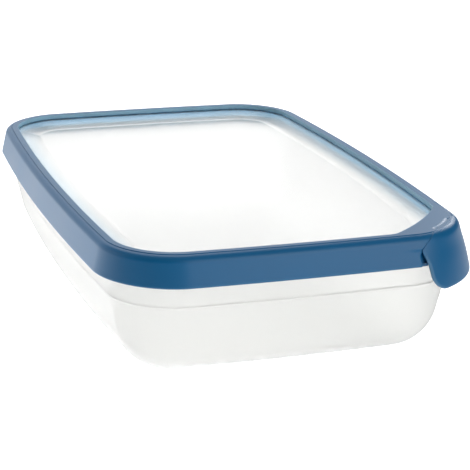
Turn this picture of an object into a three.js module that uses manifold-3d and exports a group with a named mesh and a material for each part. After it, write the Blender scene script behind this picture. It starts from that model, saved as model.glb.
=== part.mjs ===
// Snap lid food container: a shallow see-through tub, a clear recessed lid panel, a soft snap rim moulded
// around the panel, and the pull tab that folds up from one corner of the rim.
// Millimetres, +Z up, +Y along the length. The origin is the middle of the tub's flat base.
import * as THREE from 'three';
import { mergeVertices } from 'three/addons/utils/BufferGeometryUtils.js';
import Module from 'manifold-3d';

const wasm = await Module();
wasm.setup();

// ---- Plan outline of the skirt's lower edge. Every other outline is this one, inset by some distance.
const HALF_WIDTH = 85; // X, at the middle of the bowed long side
const HALF_LENGTH = 129.2; // Y, at the middle of the bowed short end
const CORNER_RADIUS = 30.6;
const SIDE_BOW = 5.3; // how far a long side bulges between its corners
const END_BOW = 2.0; // the same on a short end
const BOW_FADE = 0.2; // share of the bow that is lost by the tub's base
const BASE_CORNER_RADIUS = 4;
const CORNER_STEPS = 8;
const SIDE_STEPS = 10;
const END_STEPS = 6;

// ---- Heights
const LID_TOP = 57.5;
const SKIRT_BOTTOM = 44.5;
const TUB_TOP = 52.6;
const FLANGE_BOTTOM = 49.9; // underside of the lip that the skirt snaps under
const SHOULDER_TOP = 34.4; // the small step around the tub's wall

// ---- Wall sections. An inset is measured inwards from the skirt's lower edge.
const GAP = 0.3; // clearance between neighbouring pieces
const SEAL_GAP = 0.4; // clearance between the seal lip and the tub's inner face
const EDGE_BREAK = 0.4; // small chamfer on moulded edges
const TUB_WALL = 1.6;
const WALL_DRAFT = THREE.MathUtils.degToRad(12.5);
const BASE_FILLET = 21.5; // big round between wall and base
const COLLAR_INSET = 5.0; // tub's wall right under its lip
const LIP_INSET = 4.0; // outer edge of the tub's lip
const SHOULDER_INSET = 6.2; // tub's wall right under its shoulder
const SHOULDER_STEP = 0.8;
const SKIRT_DRAFT = 1.7; // how far the skirt leans in by the foot of the bead
const SKIRT_INNER_INSET = LIP_INSET - 0.7; // skirt's inner face beside the tub's lip
const SKIRT_EDGE_WALL = 2.3; // skirt's thickness at its lower edge
const SNAP_DROP = 0.7; // from the lip's underside down to the top of the snap bead
const SNAP_HEIGHT = 0.8;
const BEAD_RADIUS = 4.9; // round on the rim's outer top edge
const RIM_INNER_INSET = 8.5; // edge between the soft rim and the clear panel
const PANEL_EDGE_INSET = 5.5; // edge of the clear panel inside the soft rim
const PANEL_THICKNESS = 1.3;
const PANEL_FLANGE_TOP = 55.5;
const PANEL_FIELD_TOP = 52.5; // flat middle of the lid, 5 mm below the rim
const PANEL_BAND_START = 9; // the sloping band between flange and field
const PANEL_BAND_END = 19.5;
const PANEL_BAND_STEPS = 5;
const SEAL_LENGTH = 1.8; // how far the seal lip hangs down inside the tub
const SEAL_WALL = 0.9;

// ---- Corner pad: the soft plastic closes off one corner of the recess, up to a shallow arc.
const PAD_ARC_REACH = 116.3; // diagonal distance from the lid's centre to the arc's furthest point
const PAD_ARC_RADIUS = 128;
const PAD_ARC_STEPS = 180;

// ---- Pull tab: an apron around the same corner, flatter than the corner, that leans away from the skirt.
const FOLD = 127.4; // diagonal distance from the lid's centre to the straight fold line
const TAB_CENTRE = -32.5; // middle of the tab along the fold line
const TAB_HALF_WIDTH = 20.8;
const TAB_CORNER = 8; // round on the tab's lower corners
const TAB_LEAF = 1.5; // thickness over the bead
const TAB_NECK = 1.1; // thickness where it bends
const TAB_THICKNESS = 1.8; // thickness of the grip
const TAB_SWELL = 0.07; // growth of the thickness per millimetre below the neck
const TAB_BOTTOM = 34.3;
const TAB_NECK_HEIGHT = 52; // where the tab turns down from the bead
const TAB_NECK_REACH = 132.8; // its diagonal distance there
const TAB_LEAN = 0.36; // how fast the tab leans out at first
const TAB_LEAN_EASE = 0.0055; // how fast it straightens below
const TAB_ROUND = 35; // plan radius at the neck
const TAB_FLATTEN = 0.75; // growth of the plan radius per millimetre below the neck
const TAB_STATIONS = 12;
const TAB_BLOCK = 30; // depth of the block that trims the tab
const POCKET_ROOM = 6; // room that the rim's pocket leaves in front of the tab

// The corner with the tab is at +X, -Y. ALONG runs along the fold line and OUT points away from the lid.
const ALONG = new THREE.Vector3(1, 1, 0).normalize();
const UP = new THREE.Vector3(0, 0, 1);
const OUT = new THREE.Vector3().crossVectors(ALONG, UP);

const clearPlastic = (name, opacity) => new THREE.MeshStandardMaterial({
  name,
  color: 0xf1f3f1,
  roughness: 0.28,
  metalness: 0,
  transparent: true,
  opacity,
});
const softPlastic = (name) => new THREE.MeshStandardMaterial({
  name,
  color: 0x2f6b96,
  roughness: 0.42,
  metalness: 0,
});

/** Bowed rounded rectangle `inset` millimetres inside the skirt's lower edge, as plan points. */
function outline(inset) {
  const fade = 1 - (BOW_FADE * Math.max(inset, 0)) / baseInset();
  const sideBow = SIDE_BOW * fade;
  const endBow = END_BOW * fade;
  const a = HALF_WIDTH - sideBow - inset;
  const b = HALF_LENGTH - endBow - inset;
  const r = Math.hypot(CORNER_RADIUS - inset, BASE_CORNER_RADIUS);
  const corners = [[1, 1], [-1, 1], [-1, -1], [1, -1]];
  const points = [];
  corners.forEach(([signX, signY], quarter) => {
    for (let k = 0; k <= CORNER_STEPS; k += 1) {
      const angle = ((quarter + k / CORNER_STEPS) * Math.PI) / 2;
      points.push([signX * (a - r) + r * Math.cos(angle), signY * (b - r) + r * Math.sin(angle)]);
    }
    const [nextX, nextY] = corners[(quarter + 1) % 4];
    const steps = quarter % 2 ? SIDE_STEPS : END_STEPS;
    for (let k = 1; k < steps; k += 1) {
      const t = k / steps;
      const centreX = (signX + t * (nextX - signX)) * (a - r);
      const centreY = (signY + t * (nextY - signY)) * (b - r);
      const angle = ((quarter + 1) * Math.PI) / 2;
      points.push([centreX + r * Math.cos(angle), centreY + r * Math.sin(angle)]);
    }
  });
  return points.map(([x, y]) => [
    x * (1 + (sideBow / a) * (1 - (y / b) ** 2)),
    y * (1 + (endBow / b) * (1 - (x / a) ** 2)),
  ]);
}

/** Arc in a section: centre, radius and a sweep of angles from +inset (0) to +Z (90 degrees). */
function arc(centreInset, centreZ, radius, fromDegrees, toDegrees, steps) {
  const points = [];
  for (let k = 0; k <= steps; k += 1) {
    const angle = THREE.MathUtils.degToRad(fromDegrees + ((toDegrees - fromDegrees) * k) / steps);
    points.push([centreInset + radius * Math.cos(angle), centreZ + radius * Math.sin(angle)]);
  }
  return points;
}

/** Inset at which the tub's wall has turned into the flat base. */
function baseInset() {
  const tangentZ = BASE_FILLET * (1 - Math.sin(WALL_DRAFT));
  const wallRun = (SHOULDER_TOP - SHOULDER_STEP - tangentZ) * Math.tan(WALL_DRAFT);
  return SHOULDER_INSET + wallRun + BASE_FILLET * Math.cos(WALL_DRAFT);
}

/** Indexed geometry from vertices and triangles, turned the right way out. */
function closedGeometry(vertices, triangles) {
  let volume = 0;
  const [a, b, c] = [new THREE.Vector3(), new THREE.Vector3(), new THREE.Vector3()];
  for (let k = 0; k < triangles.length; k += 3) {
    a.fromArray(vertices, triangles[k] * 3);
    b.fromArray(vertices, triangles[k + 1] * 3);
    c.fromArray(vertices, triangles[k + 2] * 3);
    volume += a.dot(b.cross(c));
  }
  if (volume < 0) {
    triangles.reverse();
  }
  const geometry = new THREE.BufferGeometry();
  geometry.setAttribute('position', new THREE.Float32BufferAttribute(vertices, 3));
  geometry.setIndex(triangles);
  return geometry;
}

/** Two triangles per cell between ring `from` and ring `to`, each `count` points long. */
function stitch(triangles, from, to, count) {
  for (let k = 0; k < count; k += 1) {
    const next = (k + 1) % count;
    triangles.push(from + k, from + next, to + next);
    triangles.push(from + k, to + next, to + k);
  }
}

/** Closed ring: the closed section (inset, z) carried around the outline. */
function ring(section) {
  const vertices = section.flatMap(([inset, z]) => outline(inset).flatMap(([x, y]) => [x, y, z]));
  const count = outline(0).length;
  const triangles = [];
  section.forEach((_, k) => stitch(triangles, k * count, ((k + 1) % section.length) * count, count));
  return closedGeometry(vertices, triangles);
}

/** Closed dish or plate: the open section (inset, z) carried around the outline, both ends fanned shut. */
function dish(section) {
  const vertices = section.flatMap(([inset, z]) => outline(inset).flatMap(([x, y]) => [x, y, z]));
  const count = outline(0).length;
  const triangles = [];
  for (let k = 0; k + 1 < section.length; k += 1) {
    stitch(triangles, k * count, (k + 1) * count, count);
  }
  const lastRing = (section.length - 1) * count;
  const firstHub = vertices.length / 3;
  vertices.push(0, 0, section[0][1], 0, 0, section[section.length - 1][1]);
  for (let k = 0; k < count; k += 1) {
    const next = (k + 1) % count;
    triangles.push(firstHub, next, k);
    triangles.push(firstHub + 1, lastRing + k, lastRing + next);
  }
  return closedGeometry(vertices, triangles);
}

/** manifold-3d solid of a closed geometry. */
function toSolid(source) {
  const bare = source.clone();
  bare.deleteAttribute('normal');
  bare.deleteAttribute('uv');
  const geometry = mergeVertices(bare, 1e-4);
  return new wasm.Manifold(new wasm.Mesh({
    numProp: 3,
    vertProperties: Float32Array.from(geometry.attributes.position.array),
    triVerts: Uint32Array.from(geometry.index.array),
  }));
}

/** BufferGeometry of a manifold-3d solid. */
function toGeometry(solid) {
  const mesh = solid.getMesh();
  const geometry = new THREE.BufferGeometry();
  geometry.setAttribute('position', new THREE.Float32BufferAttribute(mesh.vertProperties, 3));
  geometry.setIndex(Array.from(mesh.triVerts));
  return geometry;
}

/** Section of the tub's wall from base to lip, `depth` millimetres in from its outer face. */
function tubWall(depth) {
  const draftDegrees = THREE.MathUtils.radToDeg(WALL_DRAFT);
  const fillet = arc(baseInset(), BASE_FILLET, BASE_FILLET - depth, 270, 180 + draftDegrees, 8);
  const shoulderLift = depth * Math.tan(Math.PI / 8);
  return [
    ...fillet,
    [SHOULDER_INSET + depth, SHOULDER_TOP - SHOULDER_STEP + shoulderLift],
    [SHOULDER_INSET - SHOULDER_STEP + depth, SHOULDER_TOP + shoulderLift],
    [COLLAR_INSET + depth, FLANGE_BOTTOM - EDGE_BREAK],
  ];
}

/** The tub: outer face up to the lip, over it, and down the inner face. */
function tubGeometry() {
  const lip = [
    [LIP_INSET, FLANGE_BOTTOM + EDGE_BREAK],
    [LIP_INSET, TUB_TOP - EDGE_BREAK],
    [LIP_INSET + EDGE_BREAK, TUB_TOP],
    [COLLAR_INSET + TUB_WALL - EDGE_BREAK, TUB_TOP],
    [COLLAR_INSET + TUB_WALL, TUB_TOP - EDGE_BREAK],
  ];
  return dish([...tubWall(0), ...lip, ...tubWall(TUB_WALL).reverse()]);
}

/** Upper face of the clear panel from its edge to its flat field: a flange, then a band that eases down. */
function panelTop() {
  const band = [];
  for (let k = 0; k <= PANEL_BAND_STEPS; k += 1) {
    const t = k / PANEL_BAND_STEPS;
    const ease = 0.5 + 0.5 * Math.cos(Math.PI * t);
    band.push([
      PANEL_BAND_START + t * (PANEL_BAND_END - PANEL_BAND_START),
      PANEL_FIELD_TOP + ease * (PANEL_FLANGE_TOP - PANEL_FIELD_TOP),
    ]);
  }
  return [[PANEL_EDGE_INSET, PANEL_FLANGE_TOP], ...band];
}

/** The clear lid panel, of even thickness. */
function panelGeometry() {
  const top = panelTop();
  const underside = top.map(([inset, z]) => [inset, z - PANEL_THICKNESS]);
  return dish([...top.reverse(), ...underside]);
}

/** Everything below the panel's upper face, raised by the clearance: what the pad has to stay out of. */
function underPanelGeometry() {
  const raised = panelTop().map(([inset, z]) => [inset, z + GAP]);
  return dish([...raised.reverse(), [PANEL_EDGE_INSET, SKIRT_BOTTOM]]);
}

/** Section of the soft rim: skirt, bead, the slot that grips the panel, and the seal lip inside the tub. */
function rimSection() {
  const beadFoot = LID_TOP - BEAD_RADIUS;
  const bead = arc(SKIRT_DRAFT + BEAD_RADIUS, beadFoot, BEAD_RADIUS, 180, 90, 6);
  const slotWall = PANEL_EDGE_INSET - GAP;
  const slotTop = PANEL_FLANGE_TOP + GAP;
  const slotBottom = PANEL_FLANGE_TOP - PANEL_THICKNESS - GAP;
  const overLip = TUB_TOP + GAP;
  const sealOuter = COLLAR_INSET + TUB_WALL + SEAL_GAP;
  const sealBottom = TUB_TOP - SEAL_LENGTH;
  const snapTip = LIP_INSET - GAP;
  const snapTop = FLANGE_BOTTOM - SNAP_DROP;
  const skirtFoot = SKIRT_BOTTOM + EDGE_BREAK;
  return [
    [0, skirtFoot],
    ...bead,
    [RIM_INNER_INSET - EDGE_BREAK, LID_TOP],
    [RIM_INNER_INSET, LID_TOP - EDGE_BREAK],
    [RIM_INNER_INSET, slotTop],
    [slotWall, slotTop],
    [slotWall, slotBottom],
    [sealOuter + SEAL_WALL, slotBottom],
    [sealOuter + SEAL_WALL, sealBottom],
    [sealOuter + EDGE_BREAK, sealBottom],
    [sealOuter, overLip],
    [SKIRT_INNER_INSET, overLip],
    [SKIRT_INNER_INSET, FLANGE_BOTTOM],
    [snapTip, snapTop],
    [snapTip, snapTop - SNAP_HEIGHT],
    [SKIRT_EDGE_WALL + EDGE_BREAK / 2, snapTop - 2.5 * SNAP_HEIGHT],
    [SKIRT_EDGE_WALL, skirtFoot],
    [SKIRT_EDGE_WALL - EDGE_BREAK, SKIRT_BOTTOM],
    [EDGE_BREAK, SKIRT_BOTTOM],
  ];
}

/** Levels of the tab from fold to lower edge: diagonal reach, height, plan radius and thickness. */
function tabLevels() {
  const overBead = [
    { reach: FOLD - 3, height: LID_TOP, thickness: TAB_LEAF },
    { reach: FOLD + 1.2, height: LID_TOP, thickness: TAB_LEAF },
    { reach: FOLD + 3.3, height: LID_TOP - 0.9, thickness: 0.8 * TAB_LEAF },
    { reach: FOLD + 4.7, height: LID_TOP - 2.9, thickness: TAB_NECK },
    { reach: TAB_NECK_REACH, height: TAB_NECK_HEIGHT, thickness: TAB_NECK },
  ].map((level) => ({ ...level, radius: TAB_ROUND }));
  const fullDrop = TAB_NECK_HEIGHT - TAB_BOTTOM;
  const apron = [4, 7.5, 12, fullDrop + 1].map((drop) => ({
    reach: TAB_NECK_REACH + TAB_LEAN * drop - TAB_LEAN_EASE * drop ** 2,
    height: TAB_NECK_HEIGHT - drop,
    radius: TAB_ROUND + TAB_FLATTEN * drop,
    thickness: Math.min(TAB_THICKNESS, TAB_NECK + TAB_SWELL * drop),
  }));
  return [...overBead, ...apron];
}

/** One section of the apron, `along` millimetres from the tab's middle, as (reach, height) points. */
function apronSection(along, clearance, frontRoom) {
  const levels = tabLevels();
  const reachAt = ({ reach, radius }) => reach - radius + Math.sqrt(radius ** 2 - along ** 2);
  const face = levels.map((level, k) => [
    reachAt(level) + (k < 1 ? 0 : frontRoom),
    level.height + (k < 2 ? frontRoom : 0),
  ]);
  const back = levels.map((level, k) => {
    const depth = level.thickness + clearance;
    const downShare = [1, 1, 0.6][k] ?? 0;
    const inShare = [0, 0, 0.7][k] ?? 1;
    return [reachAt(level) - depth * inShare, level.height - depth * downShare];
  });
  return [...face, ...back.reverse()];
}

/** The apron, a little wider than the tab: its sections side by side along the fold line. */
function apronGeometry(clearance, frontRoom) {
  const halfWidth = TAB_HALF_WIDTH + 4;
  const sections = [];
  for (let k = 0; k <= TAB_STATIONS; k += 1) {
    const along = halfWidth * ((2 * k) / TAB_STATIONS - 1);
    const points = apronSection(along, clearance, frontRoom);
    sections.push(points.map(([reach, height]) => [reach, TAB_CENTRE + along, height]));
  }
  const vertices = sections.flat().flatMap(([reach, along, height]) => [
    reach * OUT.x + along * ALONG.x,
    reach * OUT.y + along * ALONG.y,
    height,
  ]);
  const count = sections[0].length;
  const last = TAB_STATIONS * count;
  const triangles = [];
  for (let k = 0; k < TAB_STATIONS; k += 1) {
    stitch(triangles, k * count, (k + 1) * count, count);
  }
  const endFace = sections[0].map(([reach, , height]) => new THREE.Vector2(reach, height));
  THREE.ShapeUtils.triangulateShape(endFace, []).forEach(([p, q, r]) => {
    triangles.push(p, q, r);
    triangles.push(last + p, last + r, last + q);
  });
  return closedGeometry(vertices, triangles);
}

/** Outline of the tab seen square on, in distance along the fold line and height. */
function tabShape(margin) {
  const top = LID_TOP + 10;
  const left = TAB_CENTRE - TAB_HALF_WIDTH - margin;
  const right = TAB_CENTRE + TAB_HALF_WIDTH + margin;
  const roundTop = TAB_BOTTOM + TAB_CORNER;
  const shape = new THREE.Shape();
  shape.moveTo(right, top);
  shape.lineTo(left, top);
  shape.absarc(left + TAB_CORNER, roundTop, TAB_CORNER, Math.PI, 1.5 * Math.PI, false);
  shape.absarc(right - TAB_CORNER, roundTop, TAB_CORNER, 1.5 * Math.PI, 2 * Math.PI, false);
  shape.closePath();
  return shape;
}

/** The tab as a solid. With clearance and front room it is the pocket that the rim leaves for the tab. */
function tabSolid(clearance, frontRoom) {
  const block = new THREE.ExtrudeGeometry(tabShape(clearance), {
    depth: TAB_BLOCK,
    bevelEnabled: false,
    curveSegments: 6,
  });
  block.translate(0, 0, FOLD - clearance);
  block.applyMatrix4(new THREE.Matrix4().makeBasis(ALONG, UP, OUT));
  return toSolid(apronGeometry(clearance, frontRoom)).intersect(toSolid(block));
}

/** The pad across the recess's corner: from the rim to a shallow arc, and down to just above the panel. */
function padSolid() {
  const arcCentre = OUT.clone().multiplyScalar(PAD_ARC_REACH - PAD_ARC_RADIUS);
  arcCentre.addScaledVector(ALONG, TAB_CENTRE);
  const reach = RIM_INNER_INSET - 2 * EDGE_BREAK; // runs under the rim's inner edge, so that the two join
  const inside = dish([[reach, TUB_TOP], [reach, LID_TOP]]);
  const round = new THREE.CylinderGeometry(PAD_ARC_RADIUS, PAD_ARC_RADIUS, LID_TOP, PAD_ARC_STEPS);
  round.rotateX(Math.PI / 2);
  round.translate(arcCentre.x, arcCentre.y, LID_TOP);
  const cornerBlock = new THREE.BoxGeometry(HALF_WIDTH, HALF_WIDTH, LID_TOP);
  cornerBlock.translate(HALF_WIDTH, -HALF_LENGTH, LID_TOP);
  return toSolid(inside)
    .intersect(toSolid(cornerBlock))
    .subtract(toSolid(round))
    .subtract(toSolid(underPanelGeometry()));
}

/** The soft rim with its pad, less the pocket that the tab folds out of. */
function rimGeometry() {
  return toGeometry(toSolid(ring(rimSection())).add(padSolid()).subtract(tabSolid(GAP, POCKET_ROOM)));
}

function named(name, geometry, material) {
  const mesh = new THREE.Mesh(geometry, material);
  mesh.name = name;
  return mesh;
}

const container = new THREE.Group();
container.name = 'snap_lid_food_container';

const lid = new THREE.Group();
lid.name = 'lid';
lid.add(named('lid_panel', panelGeometry(), clearPlastic('clear_panel', 0.55)));
lid.add(named('lid_rim', rimGeometry(), softPlastic('soft_rim')));
lid.add(named('pull_tab', toGeometry(tabSolid(0, 0)), softPlastic('soft_tab')));

container.add(named('tub', tubGeometry(), clearPlastic('clear_tub', 0.5)));
container.add(lid);

export default container;
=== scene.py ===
"""Snap lid food container: hazy tub, recessed clear lid panel, soft blue snap rim and the pull tab on one corner.

Section and plan shapes are worked out in millimetres and put into the meshes in metres, in the model's own frame:
+Z up, +Y along the length, origin in the middle of the tub's base. The pull tab is on the corner at +X, -Y.
"""

import math

import bpy
import numpy as np
from bpy.props import FloatProperty, FloatVectorProperty, IntProperty, PointerProperty
from bpy.types import Operator, Panel, PropertyGroup
from mathutils import Matrix, Vector


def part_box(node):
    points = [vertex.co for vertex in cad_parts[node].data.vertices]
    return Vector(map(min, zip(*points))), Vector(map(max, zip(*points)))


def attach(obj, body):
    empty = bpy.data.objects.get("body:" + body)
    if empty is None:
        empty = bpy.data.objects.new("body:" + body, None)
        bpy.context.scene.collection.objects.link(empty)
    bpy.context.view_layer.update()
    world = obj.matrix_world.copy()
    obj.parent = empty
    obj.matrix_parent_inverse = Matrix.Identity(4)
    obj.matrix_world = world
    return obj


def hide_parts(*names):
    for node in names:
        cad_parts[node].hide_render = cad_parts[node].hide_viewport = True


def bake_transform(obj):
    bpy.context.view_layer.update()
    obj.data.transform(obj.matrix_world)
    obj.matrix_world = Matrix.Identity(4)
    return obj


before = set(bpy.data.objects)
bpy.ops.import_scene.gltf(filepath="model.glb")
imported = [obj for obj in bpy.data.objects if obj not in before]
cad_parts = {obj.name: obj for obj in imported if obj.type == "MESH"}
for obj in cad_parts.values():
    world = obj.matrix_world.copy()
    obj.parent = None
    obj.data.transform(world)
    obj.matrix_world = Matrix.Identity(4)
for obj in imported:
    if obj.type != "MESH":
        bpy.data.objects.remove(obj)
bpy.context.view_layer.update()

bl_info = {
    "name": "Snap Lid Food Container",
    "version": (1, 0, 0),
    "blender": (4, 5, 0),
    "location": "View3D > Sidebar > Container",
    "description": "Builds a hazy food tub with a clear lid panel, a soft snap rim and a pull tab",
    "category": "Add Mesh",
}

MM = 1000.0  # millimetres in a metre
RIM_LOW, RIM_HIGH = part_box("lid_rim")
_, TUB_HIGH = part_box("tub")

# Plan outline
BOW_FADE = 0.2  # share of the sides' bow that is lost by the tub's base
BASE_CORNER_RADIUS = 4.0
CORNERS_X = np.array([1.0, -1.0, -1.0, 1.0])
CORNERS_Y = np.array([1.0, 1.0, -1.0, -1.0])
TAB_QUARTER = 3  # the corner at +X, -Y
TAB_CORNER_TIMES = 3  # how much closer the steps lie in the tab's corner than in the others
SIDE_STEPS, TAB_SIDE_STEPS = 24, 40
SIDE_CROWDING = 1.5  # power by which the steps of a side crowd towards the tab's corner
HOLD_SHARE = 0.3  # most of a straight run's spare length that a point beside a rounded corner takes

# Section heights and insets, millimetres; an inset is measured inwards from the skirt's lower edge
SHOULDER_TOP = 34.4
SHOULDER_INSET = 6.2
SHOULDER_STEP = 0.8
COLLAR_INSET = 5.0
COLLAR_TOP = 49.7
LIP_INSET = 4.0
SHOULDER_OF_BEAD = (2.65, 56.92)  # where the skirt's slope would meet the slope of the bead's top
BEAD_RADIUS = 3.25
CREASE_INSET = 5.0  # fine groove between bead and flat
FLAT_START = 5.9  # the flat from here to the lip stretches over the pad
FLAT_END = 7.7
RIM_INNER_INSET = 8.5
SLOT_INSET = 5.2
SLOT_TOP = 55.56
CLEARANCE = 0.06
PANEL_EDGE_INSET = 5.5
PANEL_FLANGE_TOP = 55.5
BAND_START = 9.2
BAND_END = 19.3
PAINTED_BLUE_SHORT = 3.0  # painted light: the rim's blue, as seen through the clear panel, has faded this far before the band ends
LIP_LIGHT, LIP_LIGHT_WIDTH = 0.4, 0.45  # painted light: how much the soft plastic's colour is lightened at its inner lip, as if lit through, and how far from it
FOOT_LIGHT, FOOT_LIGHT_WIDTH = 0.15, 0.6  # the same painted light at the skirt's foot
SKIRT_ROWS = 14  # rows added on the skirt's straight run, so that it can turn into the pocket

# Corner pad, and the pull tab in the corner's own directions: OUT points away from the lid, ALONG runs with the fold
ALONG = np.array([1.0, 1.0]) / math.sqrt(2.0)
OUT = np.array([1.0, -1.0]) / math.sqrt(2.0)
PAD_ARC_REACH = 116.3
PAD_ARC_RADIUS = 128.0
PAD_SOFTNESS = 0.5
PAD_HALF_WIDTH = 60.0
TAB_CENTRE = -32.5
TAB_STATION = 2.0 * TAB_QUARTER + 0.5  # middle of the tab's corner
CORNER_RUN = 46.0  # distance along the fold per station, roughly
ROOT_REACH = 126.3
ROOT_SWEEP, ROOT_HALF_WIDTH = 0.9, 20.8
TAB_ROUND = 35.0
TAB_TIGHTEN = 9.5
TAB_DRAWN_IN, DRAWN_IN_RUN = 0.8, 7.0  # the left edge comes in by this much over this height below the neck
TAB_LEFT = 1.2  # how much further the tab reaches on the side of the short end
TAB_FLATTEN = 0.75
TAB_CORNER = 7.2
TAB_NECK_HEIGHT = 52.0
TAB_PROUD, PROUD_RUN = 0.03, 1.5  # the tab's root lies this much above the rim, and sinks to it over this run
TAB_TAPER = 2.4  # run over which the tab comes to its full thickness
ON_BEAD_DROP, ON_BEAD_RUN = 0.25, 2.0  # the face joins the bead over this drop, or this run from the root
EDGE_RUN = 0.9  # rows gather this near to the tab's lower edge
TAB_EDGE_LIGHT, TAB_EDGE_LIGHT_WIDTH, TAB_EDGE_LIGHT_RUN = 0.3, 0.7, 6.0  # painted light: how much the edges are painted lighter, as if lit through, how far in, and from which run
BEAD_LEVEL = 57.45  # highest level at which the bead still has a slope
SWELL_SOFTNESS = 0.7
SWELL_HALF_WIDTH, SWELL_FADE = 28.0, 6.0
SWELL_FOOT, SWELL_RISE = 51.0, 1.8  # height at which the bead begins to swell, and over which it does
SWELL_REACH = 105.0  # only the tab's corner lies further out
POCKET_DEPTH = 1.5
POCKET_REACH = 110.0
POCKET_START, POCKET_FADE = 0.45, 0.8  # distance beyond the tab's root, and the run over which it deepens
POCKET_SIDE, POCKET_SIDE_FADE = 0.55, 0.45
POCKET_NARROWS, POCKET_NARROWS_RISE = 0.65, 1.2
# Profile of the tab down its middle: reach, height, thickness
TAB_PROFILE = np.array([
    (124.4, 57.5, 1.3), (126.4, 57.5, 1.3), (128.4, 57.5, 1.3), (129.7, 57.22, 1.25), (130.8, 56.5, 1.2),
    (131.6, 55.5, 1.1), (132.15, 54.3, 1.1), (132.5, 53.1, 1.1), (132.8, 52.0, 1.1), (133.45, 50.0, 1.2),
    (134.15, 48.0, 1.35), (135.2, 44.5, 1.6), (136.33, 40.0, 1.8), (137.0, 36.8, 1.8), (137.45, 34.3, 1.8),
    (137.7, 32.8, 1.8),
])
TAB_TOP = TAB_PROFILE[0, 1]
HAIR = 0.02  # heights and insets closer than this count as the same

# Finishes and studio, in metres and radians
GRAIN_RELIEF = 0.0001
FLOOR_DROP = 0.1  # millimetres under the tub
FLOOR_GLOW, FLOOR_FILL = 1.16, 0.2  # the floor's own light to the eye, and as soft fill
SURROUND_GLOW = 1.14
CAMERA_PLACE = (-0.224, -0.68033, 0.25199)
CAMERA_TURN = (0.33462, 0.30886, 0.02157)  # yaw from +Y towards +X, pitch down, roll
LENS = 119.67  # millimetres, on a sensor 36 mm wide


def smooth_step(value):
    """Rises from 0 to 1 as value does, by 3v^2 - 2v^3."""
    v = np.clip(value, 0.0, 1.0)
    return v * v * (3.0 - 2.0 * v)


def soft_max(first, second, softness):
    """Larger of the two, with the switch rounded: half their sum plus half of sqrt(difference^2 + softness^2)."""
    return 0.5 * (first + second + np.sqrt((first - second) ** 2 + softness**2))


class ContainerSizes(PropertyGroup):
    """Outer sizes and wall thicknesses of the container."""

    half_width: FloatProperty(
        name="Half Width", description="From the middle to the skirt at the middle of a long side",
        default=RIM_HIGH.x, unit="LENGTH", subtype="DISTANCE")
    half_length: FloatProperty(
        name="Half Length", description="From the middle to the skirt at the middle of a short end",
        default=RIM_HIGH.y, unit="LENGTH", subtype="DISTANCE")
    corner_radius: FloatProperty(
        name="Corner Radius", description="Plan radius of the skirt's corners",
        default=0.0306, unit="LENGTH", subtype="DISTANCE")
    side_bow: FloatProperty(
        name="Side Bow", description="How far a long side bulges between its corners",
        default=0.0053, unit="LENGTH", subtype="DISTANCE")
    end_bow: FloatProperty(
        name="End Bow", description="How far a short end bulges between its corners",
        default=0.002, unit="LENGTH", subtype="DISTANCE")
    lid_top: FloatProperty(
        name="Lid Top", description="Height of the rim's flat top", default=RIM_HIGH.z,
        unit="LENGTH", subtype="DISTANCE")
    skirt_bottom: FloatProperty(
        name="Skirt Bottom", description="Height of the skirt's lower edge", default=RIM_LOW.z,
        unit="LENGTH", subtype="DISTANCE")
    tub_top: FloatProperty(
        name="Tub Top", description="Height of the tub's lip", default=TUB_HIGH.z,
        unit="LENGTH", subtype="DISTANCE")
    tub_wall: FloatProperty(
        name="Tub Wall", description="Thickness of the tub's wall", default=0.0016,
        unit="LENGTH", subtype="DISTANCE")
    base_fillet: FloatProperty(
        name="Base Round", description="Radius between the tub's wall and base", default=0.0215,
        unit="LENGTH", subtype="DISTANCE")
    wall_draft: FloatProperty(
        name="Wall Draft", description="Lean of the tub's wall", default=math.radians(12.5),
        subtype="ANGLE")
    panel_field: FloatProperty(
        name="Panel Field", description="Height of the lid panel's flat middle", default=0.0525,
        unit="LENGTH", subtype="DISTANCE")
    panel_thickness: FloatProperty(
        name="Panel Thickness", description="Thickness of the lid panel", default=0.0013,
        unit="LENGTH", subtype="DISTANCE")
    tab_half_width: FloatProperty(
        name="Tab Half Width", description="Half the width of the pull tab", default=0.0208,
        unit="LENGTH", subtype="DISTANCE")
    tab_bottom: FloatProperty(
        name="Tab Bottom", description="Height of the pull tab's lower edge", default=0.0343,
        unit="LENGTH", subtype="DISTANCE")
    stations: IntProperty(
        name="Stations", description="Steps of the plan outline in each corner", default=40, min=8, max=80)


class ContainerColours(PropertyGroup):
    """Colours of the soft plastic and the hazy plastic."""

    soft_blue: FloatVectorProperty(
        name="Soft Blue", description="Colour of the rim and the pull tab", subtype="COLOR", size=3,
        default=(0.006, 0.15, 0.36), min=0.0, max=1.0)
    # painted light: the lighter blue painted where light shines through the soft plastic's thin edges, and as painted
    # fill on its shaded inner walls
    edge_light_blue: FloatVectorProperty(
        name="Edge Light Blue", description="Colour where the soft plastic runs out to a thin edge",
        subtype="COLOR", size=3, default=(0.34, 0.6, 0.78), min=0.0, max=1.0)
    hazy_tub: FloatVectorProperty(
        name="Hazy Tub", description="Tint of the tub's plastic", subtype="COLOR", size=3,
        default=(0.925, 0.925, 0.912), min=0.0, max=1.0)
    # painted light: the rim's blue as it shows through the clear panel, painted into the panel's colour next to the rim
    painted_rim_blue: FloatVectorProperty(
        name="Painted Rim Blue", description="Colour of the clear plastic next to the rim, which shows through it",
        subtype="COLOR", size=3, default=(0.62, 0.8, 0.92), min=0.0, max=1.0)
    hazy_panel: FloatVectorProperty(
        name="Hazy Panel", description="Tint of the lid panel's plastic", subtype="COLOR", size=3,
        default=(0.965, 0.97, 0.97), min=0.0, max=1.0)


class StudioSettings(PropertyGroup):
    """Floor and light."""

    floor_colour: FloatVectorProperty(
        name="Floor Colour", description="Colour of the studio floor", subtype="COLOR", size=3,
        default=(0.55, 0.55, 0.55), min=0.0, max=1.0)
    floor_size: FloatProperty(
        name="Floor Size", description="Width of the studio floor", default=12.0, unit="LENGTH",
        subtype="DISTANCE")
    sky_strength: FloatProperty(
        name="Surround Strength", description="Brightness of the white surround", default=1.0, min=0.0)


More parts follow.
